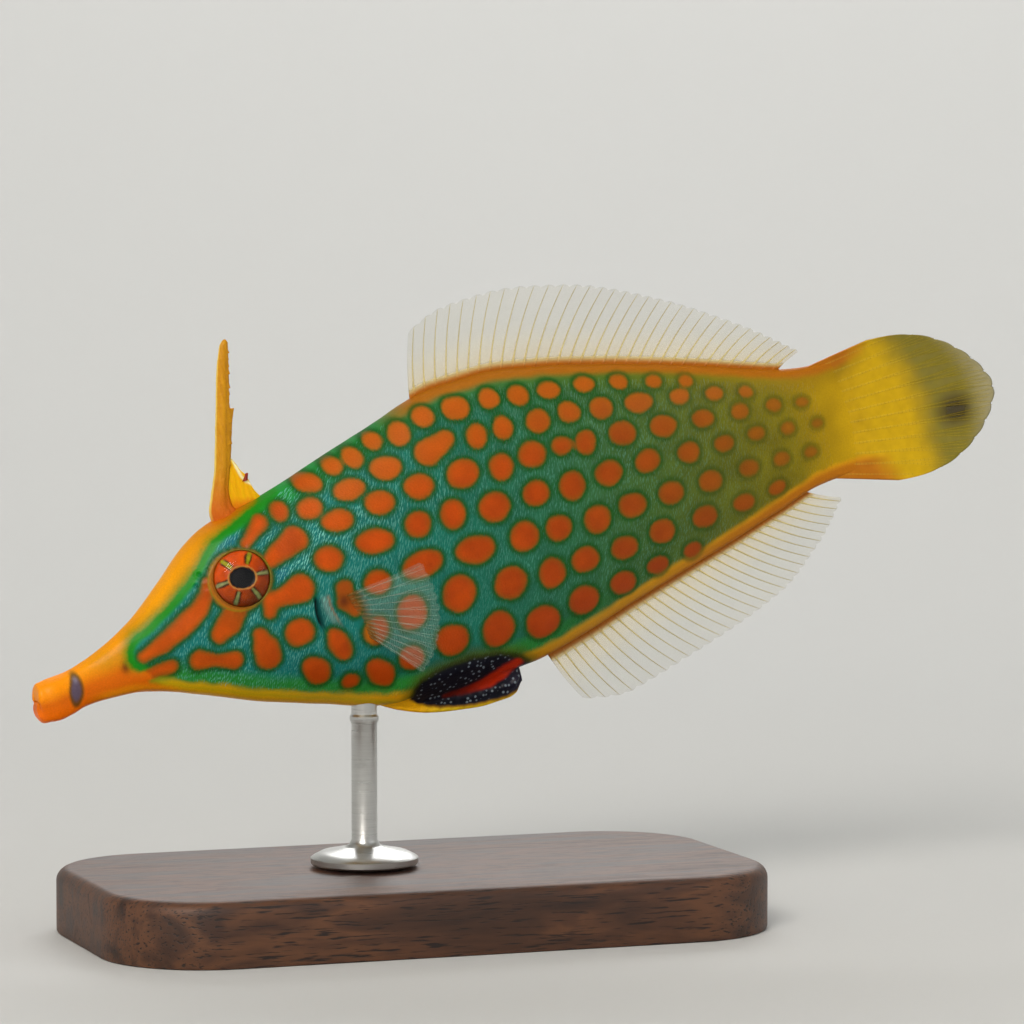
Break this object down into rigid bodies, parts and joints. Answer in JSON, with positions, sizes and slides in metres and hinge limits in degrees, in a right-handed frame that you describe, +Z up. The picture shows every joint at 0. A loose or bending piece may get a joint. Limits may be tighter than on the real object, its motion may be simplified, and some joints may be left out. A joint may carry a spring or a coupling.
{
  "type": "harlequin filefish model on a display stand",
  "caption": "Life-size still model of a harlequin filefish swimming head down, held by a steel rod on a flat wooden base.",
  "frame": {"origin": "centre of the stand base's underside, at the level of the table", "axes": "+X from the fish's head to its tail, +Z up, -Y the fish's left side; the fish is held 15.5 degrees head down"},
  "size_m": [0.0956, 0.034, 0.0601],
  "materials": {
    "orange_skin": "orange skin of the snout and jaws, painted, satin",
    "blue_green_skin": "turquoise skin with rows of orange spots rimmed in green, finely rough, satin",
    "eye": "wet gloss, orange iris with pale spokes round a blue-black pupil",
    "spine_yellow": "golden spine and the yellow web behind it, satin",
    "clear_fin": "clear membrane between pale rays",
    "yellow_fin": "yellow tail fin with a clear margin and a dark spot",
    "dark_flap": "blue-black skin with white specks, a red streak and a yellow lower edge",
    "dark_wood": "oiled dark wood",
    "steel": "brushed"
  },
  "bodies": {
    "root": {"upper_jaw": "orange_skin", "lower_jaw": "orange_skin", "snout": "orange_skin", "head": "blue_green_skin", "trunk": "blue_green_skin", "tail_stem": "blue_green_skin", "right_eye": "eye", "left_eye": "eye", "dorsal_spine": "spine_yellow", "dorsal_spine_web": "spine_yellow", "soft_dorsal_fin": "clear_fin", "anal_fin": "clear_fin", "tail_fin": "yellow_fin", "right_pectoral_fin": "clear_fin", "left_pectoral_fin": "clear_fin", "pelvic_flap": "dark_flap", "stand_base": "dark_wood", "stand_rod": "steel"}
  },
  "joints": []
}
